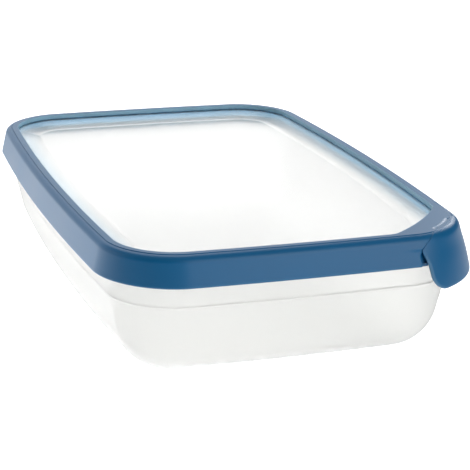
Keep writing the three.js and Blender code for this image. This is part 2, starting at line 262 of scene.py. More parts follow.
def plan(sizes, station, inset):
    """Plan point of the outline `inset` inside the skirt's foot, at `station` 0 to 8: even steps are corners and odd
    steps are sides. A rectangle with corners of radius r is traced, with x and y then swelled by a parabola across
    the side: x by 1 + bow / a * (1 - (y / b)^2), and y in the same way."""
    fade = 1.0 - BOW_FADE * np.maximum(inset, 0.0) / base_inset(sizes)
    side_bow = sizes.side_bow * MM * fade
    end_bow = sizes.end_bow * MM * fade
    a = sizes.half_width * MM - side_bow - inset
    b = sizes.half_length * MM - end_bow - inset
    r = np.hypot(sizes.corner_radius * MM - inset, BASE_CORNER_RADIUS)
    quarter = np.floor(station / 2.0).astype(int) % 4
    step = station - 2.0 * np.floor(station / 2.0)
    following = (quarter + 1) % 4
    run = np.clip(step - 1.0, 0.0, 1.0)
    angle = (quarter + np.clip(step, 0.0, 1.0)) * math.pi / 2.0
    sign_x = CORNERS_X[quarter] + run * (CORNERS_X[following] - CORNERS_X[quarter])
    sign_y = CORNERS_Y[quarter] + run * (CORNERS_Y[following] - CORNERS_Y[quarter])
    x = sign_x * (a - r) + r * np.cos(angle)
    y = sign_y * (b - r) + r * np.sin(angle)
    return (
        x * (1.0 + side_bow / a * (1.0 - (y / b) ** 2)),
        y * (1.0 + end_bow / b * (1.0 - (x / a) ** 2)),
    )


def base_inset(sizes):
    """Inset at which the tub's leaning wall and its big round have turned into the flat base."""
    radius = sizes.base_fillet * MM
    tangent_z = radius * (1.0 - math.sin(sizes.wall_draft))
    wall_run = (SHOULDER_TOP - SHOULDER_STEP - tangent_z) * math.tan(sizes.wall_draft)
    return SHOULDER_INSET + wall_run + radius * math.cos(sizes.wall_draft)


def stations(sizes):
    """Places along the outline: even steps in each corner and side, closer in the pull tab's corner, and crowding
    towards it along the two sides that meet there."""
    corner = sizes.stations
    runs = []
    for quarter in range(4):
        corner_steps = corner * (TAB_CORNER_TIMES if quarter == TAB_QUARTER else 1)
        side_steps = TAB_SIDE_STEPS if quarter in (TAB_QUARTER - 1, TAB_QUARTER) else SIDE_STEPS
        runs.append(2.0 * quarter + np.arange(corner_steps) / corner_steps)
        share = np.arange(side_steps) / side_steps
        if quarter == TAB_QUARTER:
            share = share**SIDE_CROWDING
        if quarter == TAB_QUARTER - 1:
            share = 1.0 - (1.0 - share) ** SIDE_CROWDING
        runs.append(2.0 * quarter + 1.0 + share)
    return np.concatenate(runs)


def rounded(corners, steps=6, hold=0.3):
    """Open section with rounded corners, from rows of inset, height and radius. At each corner the straight runs stop
    short by r * tan(turn / 2) and an arc tangent to both joins them, with one more point `hold` before and after it."""
    rows = np.array(corners, float)
    points, radius = rows[:, :2], rows[:, 2]
    before = points - np.roll(points, 1, axis=0)
    after = np.roll(points, -1, axis=0) - points
    before_length = np.linalg.norm(before, axis=1)
    after_length = np.linalg.norm(after, axis=1)
    before = before / before_length[:, None]
    after = after / after_length[:, None]
    cross = before[:, 0] * after[:, 1] - before[:, 1] * after[:, 0]
    turn = np.arctan2(cross, np.sum(before * after, axis=1))
    stop = radius * np.tan(np.abs(turn) / 2.0)
    side = np.stack([-before[:, 1], before[:, 0]], axis=1) * np.sign(turn)[:, None]
    centre = points - before * stop[:, None] + side * radius[:, None]
    swing = turn[:, None] * np.linspace(0.0, 1.0, steps + 1)[None, :]
    start = -side * radius[:, None]
    arc_u = centre[:, :1] + start[:, :1] * np.cos(swing) - start[:, 1:] * np.sin(swing)
    arc_z = centre[:, 1:] + start[:, :1] * np.sin(swing) + start[:, 1:] * np.cos(swing)
    spare_before = np.maximum(before_length - stop - np.roll(stop, 1), 0.0)
    spare_after = np.maximum(after_length - stop - np.roll(stop, -1), 0.0)
    lead = points - before * (stop + np.minimum(hold, HOLD_SHARE * spare_before))[:, None]
    trail = points + after * (stop + np.minimum(hold, HOLD_SHARE * spare_after))[:, None]
    u = np.concatenate([lead[:, :1], arc_u, trail[:, :1]], axis=1)[1:-1].ravel()
    z = np.concatenate([lead[:, 1:], arc_z, trail[:, 1:]], axis=1)[1:-1].ravel()
    return (
        np.concatenate([points[:1, 0], u, points[-1:, 0]]),
        np.concatenate([points[:1, 1], z, points[-1:, 1]]),
    )


def shell_object(name, grid, close_rows, poles=False, masks=None):
    """Mesh object of a grid of points (rows, columns, 3) in millimetres whose columns run all the way round. The rows
    either close on themselves or, with poles, end in one point each, the middle of the first and of the last row.
    The faces are turned so that the volume they enclose is positive."""
    rows, columns = grid.shape[:2]
    row = np.arange(rows if close_rows else rows - 1)
    column = np.arange(columns)
    beside = (column + 1) % columns
    here, below = row[:, None] * columns, ((row + 1) % rows)[:, None] * columns
    quads = np.stack([here + column, here + beside, below + beside, below + column], axis=-1).reshape(-1, 4)
    points = grid.reshape(-1, 3)
    triangles = np.zeros((0, 3), int)
    if poles:
        first, last = grid[0].mean(axis=0), grid[-1].mean(axis=0)
        count = len(points)
        points = np.concatenate([points, first[None, :], last[None, :]])
        start = (rows - 1) * columns
        triangles = np.concatenate([
            np.stack([np.full(columns, count), beside, column], axis=-1),
            np.stack([np.full(columns, count + 1), start + column, start + beside], axis=-1),
        ])
    return faced_object(name, points, quads, triangles, masks)


def add_object(name, data):
    """New object of a mesh, light or camera in the scene."""
    made = bpy.data.objects.new(name, data)
    bpy.context.scene.collection.objects.link(made)
    return made


def faced_object(name, points, quads, triangles, masks=None):
    """Mesh object from points in millimetres, quads and triangles, turned the right way out and shaded smooth."""
    flat = np.concatenate([quads[:, [0, 1, 2]], quads[:, [0, 2, 3]], triangles])
    a, b, c = points[flat[:, 0]], points[flat[:, 1]], points[flat[:, 2]]
    if np.sum(a * np.cross(b, c)) < 0.0:
        quads, triangles = quads[:, ::-1], triangles[:, ::-1]
    loops = np.concatenate([quads.ravel(), triangles.ravel()])
    totals = np.concatenate([np.full(len(quads), 4), np.full(len(triangles), 3)])
    mesh = bpy.data.meshes.new(name)
    mesh.vertices.add(len(points))
    mesh.vertices.foreach_set("co", (points / MM).astype(np.float32).ravel())
    mesh.loops.add(len(loops))
    mesh.loops.foreach_set("vertex_index", loops.astype(np.int32))
    mesh.polygons.add(len(totals))
    mesh.polygons.foreach_set("loop_start", (np.cumsum(totals) - totals).astype(np.int32))
    mesh.polygons.foreach_set("use_smooth", np.ones(len(totals), bool))
    for label, values in (masks or {}).items():
        full = np.zeros(len(points), np.float32)
        full[: values.size] = values.ravel()
        mesh.attributes.new(label, "FLOAT", "POINT").data.foreach_set("value", full)
    mesh.update(calc_edges=True)
    if mesh.validate():
        raise RuntimeError(f"{name}: the mesh has broken faces")
    return add_object(name, mesh)


def to_corner(x, y):
    """Reach along OUT, and distance along the fold line from the tab's middle, of a plan point."""
    return x * OUT[0] + y * OUT[1], x * ALONG[0] + y * ALONG[1] - TAB_CENTRE


def from_corner(reach, along):
    """Plan point of a reach along OUT and a distance along the fold line from the tab's middle."""
    return (
        reach * OUT[0] + (along + TAB_CENTRE) * ALONG[0],
        reach * OUT[1] + (along + TAB_CENTRE) * ALONG[1],
    )


def tab_profile(count=600):
    """The tab's profile as a Catmull-Rom curve through its rows, with the distance along it."""
    rows = TAB_PROFILE
    place = np.linspace(1.0, len(rows) - 2.0, count)
    k = np.minimum(place.astype(int), len(rows) - 3)
    t = (place - k)[:, None]
    p0, p1, p2, p3 = rows[k - 1], rows[k], rows[k + 1], rows[k + 2]
    curve = 0.5 * (2 * p1 + (p2 - p0) * t + (2 * p0 - 5 * p1 + 4 * p2 - p3) * t**2
                   + (3 * p1 - p0 - 3 * p2 + p3) * t**3)
    reach = np.maximum.accumulate(curve[:, 0])
    height = np.minimum.accumulate(np.minimum(curve[:, 1], rows[0, 1]))
    length = np.concatenate([[0.0], np.cumsum(np.hypot(np.diff(reach), np.diff(height)))])
    return length, reach, height, curve[:, 2]


def fall_back(along, height):
    """How far the tab's face curves back beside its middle: R - sqrt(R^2 - along^2), with R growing downwards and the
    root kept from falling below 5 mm."""
    above = np.clip((height - TAB_NECK_HEIGHT) / (TAB_TOP - TAB_NECK_HEIGHT), 0.0, 1.0)
    radius = TAB_ROUND - TAB_TIGHTEN * above + TAB_FLATTEN * np.maximum(TAB_NECK_HEIGHT - height, 0.0)
    return radius - np.sqrt(np.maximum(radius**2 - along**2, 5.0**2))


def apron_reach(along, height):
    """Reach of the tab's face at a distance from its middle and a height."""
    _, reach, level, _ = tab_profile()
    at_level = np.interp(-height, -level, reach)
    flat_end = np.interp(HAIR, TAB_TOP - level, reach)
    at_level = np.where(height > TAB_TOP - HAIR, flat_end, at_level)
    return at_level - fall_back(along, height)


def rim_outer(sizes):
    """Outer part of the rim's section, from the skirt's foot over the bead to the inner lip and down its inner wall."""
    foot, top = sizes.skirt_bottom * MM, sizes.lid_top * MM
    return rounded(
        [
            (1.15, foot, 0.0),
            (0.0, foot, 0.5),
            (SHOULDER_OF_BEAD[0], SHOULDER_OF_BEAD[1], BEAD_RADIUS),
            (CREASE_INSET, top - 0.24, 0.1),
            (CREASE_INSET + 0.2, top - 0.5, 0.1),
            (CREASE_INSET + 0.48, top, 0.16),
            (RIM_INNER_INSET, top, 0.42),
            (RIM_INNER_INSET, SLOT_TOP, 0.22),
            (RIM_INNER_INSET - 0.45, SLOT_TOP, 0.0),
        ],
        steps=8,
        hold=0.35,
    )


def crest_row(sizes, height):
    """First row of the rim's section that lies on its flat top."""
    return int(np.argmax(height >= sizes.lid_top * MM - 1e-6))


def skirt_inset(sizes, height):
    """Inset of the rim's outer face at a height, from the skirt's foot up to the top of the bead."""
    u, z = rim_outer(sizes)
    crest = crest_row(sizes, z)
    low = int(np.argmin(np.abs(u[:crest])))
    return np.interp(height, np.maximum.accumulate(z[low : crest + 1]), u[low : crest + 1])


def rim_reach(sizes, along, inset):
    """Reach of the plan outline at a distance along the fold line, by Newton steps on the station."""
    station = TAB_STATION + along / CORNER_RUN
    for _ in range(12):
        x, y = plan(sizes, station, inset)
        ahead_x, ahead_y = plan(sizes, station + 1e-4, inset)
        _, here = to_corner(x, y)
        _, ahead = to_corner(ahead_x, ahead_y)
        slope = np.maximum((ahead - here) / 1e-4, 5.0)
        station = np.clip(station - (here - along) / slope, TAB_STATION - 1.2, TAB_STATION + 1.2)
    reach, _ = to_corner(*plan(sizes, station, inset))
    return reach


def panel_top(sizes):
    """Upper face of the lid panel from its edge to its flat field."""
    field = sizes.panel_field * MM
    return rounded(
        [
            (PANEL_EDGE_INSET, PANEL_FLANGE_TOP, 0.0),
            (BAND_START, PANEL_FLANGE_TOP, 5.0),
            (BAND_END, field, 9.0),
            (BAND_END + 6.0, field, 0.0),
        ],
        steps=10,
        hold=0.6,
    )


def pad_inset(sizes, station):
    """Inset of the rim's inner lip: constant, and in the tab's corner where the outline crosses the pad's arc, found
    by Newton steps on the inset."""
    centre_x, centre_y = from_corner(PAD_ARC_REACH - PAD_ARC_RADIUS, 0.0)
    inset = np.full(station.shape, 8.0)
    for _ in range(10):
        x, y = plan(sizes, station, inset)
        x2, y2 = plan(sizes, station, inset + 1e-3)
        over = np.hypot(x - centre_x, y - centre_y) - PAD_ARC_RADIUS
        ahead = np.hypot(x2 - centre_x, y2 - centre_y) - PAD_ARC_RADIUS
        slope = np.minimum((ahead - over) / 1e-3, -0.3)
        inset = np.clip(inset - over / slope, -20.0, 24.0)
    x, y = plan(sizes, station, np.full(station.shape, RIM_INNER_INSET))
    _, along = to_corner(x, y)
    near = (np.abs(along) < PAD_HALF_WIDTH) & (x > 0) & (y < 0)
    return np.where(near, soft_max(inset, RIM_INNER_INSET, PAD_SOFTNESS), RIM_INNER_INSET)


def drawn_to_middle(x, y, z, shares):
    """Grid of the rows x, y, z, with more rows before the first and after the last that draw in to the middle at the
    same height: each is a share of the end row's own distance from the middle."""

    def ends(rows):
        return np.concatenate([shares[:, None] * rows[:1], rows, shares[::-1, None] * rows[-1:]])

    rows_x = ends(x)
    heights = np.pad(z, len(shares), mode="edge")
    return np.stack([rows_x, ends(y), np.broadcast_to(heights[:, None], rows_x.shape)], axis=-1)


def tub_grid(sizes):
    """Tub: the wall's section carried around the outline, outer face up, over the lip and down the inner face, then
    drawn in to the middle of the base at both ends."""
    radius = sizes.base_fillet * MM
    wall = sizes.tub_wall * MM
    top = sizes.tub_top * MM
    draft = sizes.wall_draft

    def face(depth):
        swing = np.linspace(-math.pi / 2.0, -math.pi + draft, 15)
        u = base_inset(sizes) + (radius - depth) * np.cos(swing)
        z = radius + (radius - depth) * np.sin(swing)
        lift = depth * math.tan(math.pi / 8.0)
        shoulder = rounded(
            [
                (u[-1], z[-1], 0.0),
                (SHOULDER_INSET + depth, SHOULDER_TOP - SHOULDER_STEP + lift, 1.3),
                (SHOULDER_INSET - SHOULDER_STEP + depth, SHOULDER_TOP + lift, 1.3),
                (COLLAR_INSET + depth, COLLAR_TOP, 0.0),
            ],
            steps=5,
        )
        return np.concatenate([u[:-1], shoulder[0]]), np.concatenate([z[:-1], shoulder[1]])

    outer_u, outer_z = face(0.0)
    inner_u, inner_z = face(wall)
    lip_u, lip_z = rounded(
        [
            (COLLAR_INSET, COLLAR_TOP, 0.0),
            (COLLAR_INSET, COLLAR_TOP + 0.5, 0.2),
            (LIP_INSET, COLLAR_TOP + 0.6, 0.3),
            (LIP_INSET, top, 0.45),
            (COLLAR_INSET + wall, top, 0.45),
            (COLLAR_INSET + wall, COLLAR_TOP, 0.0),
        ],
        steps=5,
    )
    u = np.concatenate([outer_u, lip_u[1:-1], inner_u[::-1]])
    z = np.concatenate([outer_z, lip_z[1:-1], inner_z[::-1]])
    x, y = plan(sizes, stations(sizes)[None, :], u[:, None])
    return drawn_to_middle(x, y, z, np.linspace(0.12, 0.9, 7))


def panel_grid(sizes):
    """Lid panel: its upper face's section carried around the outline, with the same face one thickness lower, and the
    mask where the rim's blue is painted on it.
    """
    u, z = panel_top(sizes)
    thickness = sizes.panel_thickness * MM
    edge = 0.5 * thickness
    swing = np.linspace(math.pi / 2.0, 1.5 * math.pi, 9)
    edge_u = PANEL_EDGE_INSET + edge + edge * np.cos(swing)
    edge_z = PANEL_FLANGE_TOP - edge + edge * np.sin(swing)
    keep = u > PANEL_EDGE_INSET + edge + 0.05
    u, z = u[keep], z[keep]
    u, z = np.concatenate([u[::-1], edge_u, u]), np.concatenate([z[::-1], edge_z, z - thickness])
    x, y = plan(sizes, stations(sizes)[None, :], u[:, None])
    shares = np.linspace(0.1, 0.92, 8)
    grid = drawn_to_middle(x, y, z, shares)
    # painted light: the rim's blue, seen through the clear panel, is painted on the band next to the rim and fades out
    # before the band ends
    painted_blue = 1.0 - smooth_step((u - RIM_INNER_INSET) / (BAND_END - PAINTED_BLUE_SHORT - RIM_INNER_INSET))
    painted_blue = np.pad(painted_blue, len(shares))
    return grid, {"painted_rim_blue": np.broadcast_to(painted_blue[:, None], grid.shape[:2])}


def rim_grid(sizes):
    """Soft rim: one closed section carried around the outline. Its inner lip follows the pad's arc in the tab's
    corner, the bead there swells out to the tab's flatter curve, and behind the tab the skirt is set back."""
    foot, top = sizes.skirt_bottom * MM, sizes.lid_top * MM
    outer_u, outer_z = rim_outer(sizes)
    under_u = np.linspace(RIM_INNER_INSET - 0.5, SLOT_INSET + 0.3, 9)
    inner_u, inner_z = rounded(
        [
            (SLOT_INSET + 0.25, SLOT_TOP, 0.0),
            (SLOT_INSET, SLOT_TOP, 0.15),
            (SLOT_INSET, 53.9, 0.15),
            (7.9, 53.9, 0.3),
            (7.9, 50.8, 0.42),  # seal lip, inside the tub's wall
            (7.05, 50.8, 0.3),
            (7.0, 52.9, 0.3),  # over the tub's own lip
            (3.3, 52.9, 0.3),
            (3.3, 49.75, 0.25),
            (3.72, 49.2, 0.2),  # snap bead, under the tub's lip
            (3.72, 48.4, 0.2),
            (2.6, 47.3, 0.5),
            (2.3, foot, 0.5),
            (1.2, foot, 0.0),
        ],
        steps=4,
    )
    flat_u = np.linspace(FLAT_START, FLAT_END, 7)
    crest = crest_row(sizes, outer_z)
    split = crest + int(np.argmin(outer_u[crest:] < FLAT_START))
    after_flat = (np.arange(len(outer_u)) >= split) & (outer_u > FLAT_END + HAIR)
    outer_u = np.concatenate([outer_u[:split], flat_u, outer_u[after_flat]])
    outer_z = np.concatenate([outer_z[:split], np.full(len(flat_u), top), outer_z[after_flat]])
    # more rows on the skirt's straight run, which is the longest step upwards
    run = int(np.argmax(np.diff(outer_z)))
    extra = np.linspace(0.0, 1.0, SKIRT_ROWS + 2)[1:-1]
    outer_u, outer_z = (
        np.insert(rows, run + 1, rows[run] + extra * (rows[run + 1] - rows[run])) for rows in (outer_u, outer_z))
    u = np.concatenate([outer_u, under_u, inner_u])
    z = np.concatenate([outer_z, np.full(len(under_u), SLOT_TOP), inner_z])
    crest = crest_row(sizes, outer_z)
    station = stations(sizes)
    lip = pad_inset(sizes, station)

    # the pad: the flat between crease and inner lip stretches inwards, and its underside follows the panel
    row = np.arange(len(u))
    outer = row < len(outer_u)
    past_crest = row > crest
    inner_wall = outer & (z < top - 0.1) & past_crest
    share = np.where(past_crest & outer, (u - FLAT_START) / (FLAT_END - FLAT_START), 0.0)
    share = np.where(inner_wall, 1.0, np.clip(share, 0.0, 1.0))
    underside = ~outer & (row < len(outer_u) + len(under_u))
    share = np.where(underside, (u - SLOT_INSET - 0.25) / (RIM_INNER_INSET - 0.45 - SLOT_INSET - 0.25), share)
    inset = u[:, None] + share[:, None] * (lip - RIM_INNER_INSET)[None, :]
    top_u, top_z = panel_top(sizes)
    floor_z = np.interp(inset, top_u, top_z) + CLEARANCE
    lowering = np.where(inner_wall, np.clip((top - 0.6 - z) / (top - 0.6 - SLOT_TOP - 0.25), 0.0, 1.0), 0.0)
    lowering = np.where(underside, 1.0, lowering)
    height = z[:, None] + lowering[:, None] * (floor_z - SLOT_TOP)

    # the flare beside the tab: the bead swells out to the tab's plan curve, and the flat stretches with it
    x, y = plan(sizes, station[None, :], inset)
    reach, along = to_corner(x, y)
    level = np.where(row <= crest, np.maximum.accumulate(z), z)[:, None]
    face = apron_reach(along, level)
    window = smooth_step((SWELL_HALF_WIDTH - np.abs(along)) / SWELL_FADE) * (reach > SWELL_REACH)
    swell = soft_max(reach, face, SWELL_SOFTNESS) - reach
    swell = swell * window * smooth_step((level - SWELL_FOOT) / SWELL_RISE)
    flat_share = np.clip((lip[None, :] - inset) / (lip - u[crest])[None, :], 0.0, 1.0)
    swell = np.where(past_crest[:, None], swell[crest][None, :] * flat_share, swell)
    swell = np.where(outer[:, None], swell, 0.0)

    # the pocket behind the tab: outer rows move in against their own normal
    normal_u, normal_z = section_normals(u, z)
    beyond = np.where(past_crest[:, None], np.minimum(reach + swell, face[crest][None, :]), face)
    half = sizes.tab_half_width * MM
    from_side = np.minimum(half - along, half + TAB_LEFT + along)
    narrows = POCKET_NARROWS * smooth_step((level - SWELL_FOOT) / POCKET_NARROWS_RISE)
    pocket = (
        smooth_step((from_side + POCKET_SIDE - narrows) / POCKET_SIDE_FADE)
        * smooth_step((beyond - tab_root(along) - POCKET_START) / POCKET_FADE)
        * (reach > POCKET_REACH)
        * (outer & ~inner_wall)[:, None]
    )
    inset = inset - pocket * POCKET_DEPTH * normal_u[:, None]
    height = height - pocket * POCKET_DEPTH * normal_z[:, None]
    x, y = plan(sizes, station[None, :], inset)
    reach, along = to_corner(x, y)
    reach = reach + swell * (1.0 - pocket)
    x, y = from_corner(reach, along)

    # painted light: lighter beside the inner lip and along the skirt's foot, as if lit through the thin plastic, and
    # painted fill, lighter still, on all the inner walls and inside faces, which lie in shade
    from_lip = np.where(inner_wall[:, None], 0.0, lip[None, :] - inset)
    painted_light = np.exp(-((from_lip / LIP_LIGHT_WIDTH) ** 2)) * (smooth_step((z - top + 1.0) / 0.8) * outer)[:, None]
    painted_light = LIP_LIGHT * painted_light + (FOOT_LIGHT * np.exp(-(((z - foot) / FOOT_LIGHT_WIDTH) ** 2)) * outer)[:, None]
    inside = np.where(outer, 0.0, smooth_step((z - foot - 0.5) / 2.0))
    painted_light = np.maximum(painted_light, np.where(inner_wall, 1.0, inside)[:, None])
    return np.stack([x, y, height], axis=-1), {"painted_edge_light": painted_light}


def section_normals(u, z):
    """Outward unit normals of a closed section, square to the chord between each point's neighbours."""
    along_u = np.roll(u, -1) - np.roll(u, 1)
    along_z = np.roll(z, -1) - np.roll(z, 1)
    length = np.maximum(np.hypot(along_u, along_z), 1e-9)
    area = np.sum(u * np.roll(z, -1) - np.roll(u, -1) * z)
    sign = 1.0 if area > 0 else -1.0
    return sign * along_z / length, -sign * along_u / length


def tab_root(along):
    """Reach at which the tab leaves the rim: a line along the fold, swept back a little at both ends."""
    return ROOT_REACH - ROOT_SWEEP * (along / ROOT_HALF_WIDTH) ** 2


def tab_piece(name, sizes):
    """Pull tab. Its face is the surface that the rim's bead swells to, and below the neck the apron that leans out:
    reach is the profile's reach less R - sqrt(R^2 - along^2). The back lies one thickness behind it, and near a free
    edge both bend in on a half circle: by r - sqrt(r^2 - (r - e)^2) at distance e from the edge."""
    half = sizes.tab_half_width * MM
    length, profile_reach, profile_height, profile_thickness = tab_profile()
    bottom = np.interp(-sizes.tab_bottom * MM, -profile_height, length)
    flat = half - TAB_CORNER
    corner = TAB_CORNER * np.sin(np.linspace(0.0, math.pi / 2.0, 27)[1:])
    side = np.concatenate([np.linspace(0.0, flat, 17), flat + corner])
    across = np.concatenate([-side[:0:-1], side])
    over = np.maximum(np.abs(across) - flat, 0.0)
    end = bottom - (TAB_CORNER - np.sqrt(np.maximum(TAB_CORNER**2 - over**2, 0.0)))
    place_across = across
    across = np.where(across < 0.0, across * (half + TAB_LEFT) / half, across)
    start = np.full(across.shape, 3.0)
    for _ in range(40):  # each step halves the distance to where the face meets the root line
        wanted = tab_root(across) + fall_back(across, np.interp(start, length, profile_height))
        start = 0.5 * (start + np.interp(wanted, profile_reach, length))
    lead = np.array([0.0, 0.25, 0.5, 0.8, 1.15, 1.55, 2.0, 2.5])
    tail = EDGE_RUN * (1.0 - np.sin(np.linspace(0.0, math.pi / 2.0, 9)))
    body = np.linspace(0.0, 1.0, 44)[1:-1]
    first, last = start[None, :] + lead[-1], end[None, :] - tail[0] - 0.2
    place = np.concatenate([
        start[None, :] + lead[:, None],
        first + body[:, None] * (last - first),
        end[None, :] - tail[:, None],
    ])
    height = np.interp(place, length, profile_height)
    drawn_in = TAB_DRAWN_IN * smooth_step((TAB_NECK_HEIGHT - height) / DRAWN_IN_RUN)
    along = across + np.where(across < 0.0, -across / (half + TAB_LEFT), 0.0)[None, :] * drawn_in
    middle_reach = np.interp(place, length, profile_reach)
    thickness = np.interp(place, length, profile_thickness)
    face = middle_reach - fall_back(along, height)
    bead = rim_reach(sizes, along, skirt_inset(sizes, np.minimum(height, BEAD_LEVEL)))
    from_root = place - start[None, :]
    on_bead = np.maximum(smooth_step((TAB_TOP - height) / ON_BEAD_DROP), smooth_step(from_root / ON_BEAD_RUN))
    face = face + on_bead * (soft_max(bead, face, SWELL_SOFTNESS) - face)
    x, y = from_corner(face, along)
    front = np.stack([x, y, height], axis=-1)
    rows_step = np.gradient(front, axis=0)
    columns_step = np.gradient(front, axis=1)
    normal = np.cross(columns_step, rows_step)
    normal /= np.maximum(np.linalg.norm(normal, axis=-1, keepdims=True), 1e-9)
    normal *= 1.0 if normal[20, 30, :2] @ OUT > 0 else -1.0

    beside = np.abs(np.broadcast_to(place_across[None, :], place.shape)) - flat
    up = TAB_CORNER - (bottom - place)
    edge = TAB_CORNER - np.hypot(np.maximum(beside, 0.0), np.maximum(up, 0.0)) - np.minimum(
        np.maximum(beside, up), 0.0)
    edge = np.maximum(edge, 0.0)
    thickness = thickness * smooth_step(from_root / TAB_TAPER + 0.02)
    round_radius = np.maximum(0.5 * thickness, 1e-6)
    bend = round_radius - np.sqrt(np.maximum(round_radius**2 - np.maximum(round_radius - edge, 0.0) ** 2, 0.0))
    proud = TAB_PROUD * (1.0 - smooth_step(from_root / PROUD_RUN))
    face_points = front + normal * (proud - bend)[..., None]
    back_points = front + normal * (proud - thickness + bend)[..., None]

    rows, columns = place.shape
    border = np.pad(np.zeros((rows - 2, columns - 2), bool), 1, constant_values=True)
    shared = 0.5 * (face_points + back_points)
    face_points = np.where(border[..., None], shared, face_points)
    number = np.arange(rows * columns).reshape(rows, columns)
    behind = np.full((rows, columns), -1)
    behind[~border] = rows * columns + np.arange(np.count_nonzero(~border))
    behind[border] = number[border]
    points = np.concatenate([face_points.reshape(-1, 3), back_points[~border]])

    def cells(index):
        return np.stack([index[:-1, :-1], index[:-1, 1:], index[1:, 1:], index[1:, :-1]], axis=-1).reshape(-1, 4)

    quads = np.concatenate([cells(number), cells(behind)[:, ::-1]])
    # painted light: the tab's free edges are painted lighter, as if lit through the thin plastic
    painted_light = TAB_EDGE_LIGHT * np.exp(-((edge / TAB_EDGE_LIGHT_WIDTH) ** 2)) * smooth_step(from_root / TAB_EDGE_LIGHT_RUN)
    painted_light = np.concatenate([painted_light.ravel(), painted_light[~border]])
    return faced_object(name, points, quads, np.zeros((0, 3), int), {"painted_edge_light": painted_light})


# Materials


def feed(tree, socket, value):
    """Links an input to another node's output, or sets it to a plain value."""
    if isinstance(value, bpy.types.NodeSocket):
        tree.links.new(value, socket)
    else:
        socket.default_value = value


def node(tree, kind, place, *plugs, **values):
    """New node of a kind at a place in the tree. Fields and inputs are set by name; plugs are (index, value) pairs for
    inputs that share a name."""
    made = tree.nodes.new(kind)
    made.location = place
    for label, value in values.items():
        found = [socket for socket in made.inputs if socket.name == label.replace("_", " ")]
        if found:
            feed(tree, found[0], value)
        else:
            setattr(made, label, value)
    for index, value in plugs:
        feed(tree, made.inputs[index], value)
    return made


def maths(tree, operation, place, *values, clamp=False):
    """Result of a math node on values or other nodes' outputs."""
    return node(tree, "ShaderNodeMath", place, *enumerate(values), operation=operation, use_clamp=clamp).outputs[0]


def mixed(tree, place, share, first, second):
    """Result of a number mix: first where the share is 0, second where it is 1."""
    return node(tree, "ShaderNodeMix", place, (0, share), (2, first), (3, second), data_type="FLOAT").outputs[0]


def toward(tree, place, direction, axis, low, high, start, end):
    """Value that goes smoothly from start to end as the direction's share along an axis goes from low to high."""
    x, y = place
    share = node(tree, "ShaderNodeVectorMath", place, (0, direction), (1, axis), operation="DOT_PRODUCT")
    ramp = node(tree, "ShaderNodeMapRange", (x + 200, y), interpolation_type="SMOOTHSTEP",
                Value=share.outputs["Value"], From_Min=low, From_Max=high, To_Min=start, To_Max=end)
    return ramp.outputs["Result"]


def group_sockets(name, inputs, outputs):
    """Empty shader node group with named sockets; each input is (name, kind, default)."""
    tree = bpy.data.node_groups.new(name, "ShaderNodeTree")
    for label, kind, default in inputs:
        socket = tree.interface.new_socket(name=label, in_out="INPUT", socket_type=kind)
        socket.default_value = default
    for label, kind in outputs:
        tree.interface.new_socket(name=label, in_out="OUTPUT", socket_type=kind)
    return tree, tree.nodes.new("NodeGroupInput"), tree.nodes.new("NodeGroupOutput")


def moulded_grain():
    """Node group: the fine, even grain of a moulded surface, with a slow change of gloss from the plastic's flow."""
    tree, source, sink = group_sockets(
        "Moulded Grain",
        [
            ("Grain Scale", "NodeSocketFloat", 900.0),
            ("Flow Scale", "NodeSocketFloat", 16.0),
            ("Low Roughness", "NodeSocketFloat", 0.3),
            ("High Roughness", "NodeSocketFloat", 0.4),
        ],
        [("Roughness", "NodeSocketFloat"), ("Height", "NodeSocketFloat"), ("Flow", "NodeSocketFloat")],
    )
    place = node(tree, "ShaderNodeTexCoord", (-900, 0)).outputs["Object"]
    grain = node(tree, "ShaderNodeTexNoise", (-500, 200), Detail=3.0, Roughness=0.55, Vector=place,
                 Scale=source.outputs["Grain Scale"])
    flow = node(tree, "ShaderNodeTexNoise", (-500, -100), Detail=2.0, Roughness=0.45, Distortion=0.6, Vector=place,
                Scale=source.outputs["Flow Scale"])
    ramp = node(tree, "ShaderNodeMapRange", (-200, -100), Value=flow.outputs["Fac"],
                To_Min=source.outputs["Low Roughness"], To_Max=source.outputs["High Roughness"])
    feed(tree, sink.inputs["Roughness"], ramp.outputs["Result"])
    feed(tree, sink.inputs["Height"], grain.outputs["Fac"])
    feed(tree, sink.inputs["Flow"], flow.outputs["Fac"])
    return tree


def painted_light_tint():
    """Node group: a colour that turns to a second, painted-light one where a mask is high, and drifts a little with the
    flow.
    """
    tree, source, sink = group_sockets(
        "Painted Light Tint",
        [
            ("Body Colour", "NodeSocketColor", (0.5, 0.5, 0.5, 1.0)),
            ("Thin Colour", "NodeSocketColor", (0.8, 0.8, 0.8, 1.0)),
            ("Painted Mask", "NodeSocketFloat", 0.0),
            ("Flow", "NodeSocketFloat", 0.5),
            ("Drift", "NodeSocketFloat", 0.06),
        ],
        [("Colour", "NodeSocketColor")],
    )
    shift = maths(tree, "SUBTRACT", (-500, -200), source.outputs["Flow"], 0.5)
    scale = maths(tree, "MULTIPLY_ADD", (-300, -200), shift, source.outputs["Drift"], 1.0)
    tint = node(tree, "ShaderNodeMix", (-300, 100), (0, source.outputs["Painted Mask"]),
                (6, source.outputs["Body Colour"]), (7, source.outputs["Thin Colour"]), data_type="RGBA")
    drifted = node(tree, "ShaderNodeVectorMath", (-50, 0), (0, tint.outputs[2]), operation="SCALE", Scale=scale)
    feed(tree, sink.inputs["Colour"], drifted.outputs[0])
    return tree


def group(name, maker):
    """The node group of that name, made the first time it is asked for."""
    return bpy.data.node_groups.get(name) or maker()


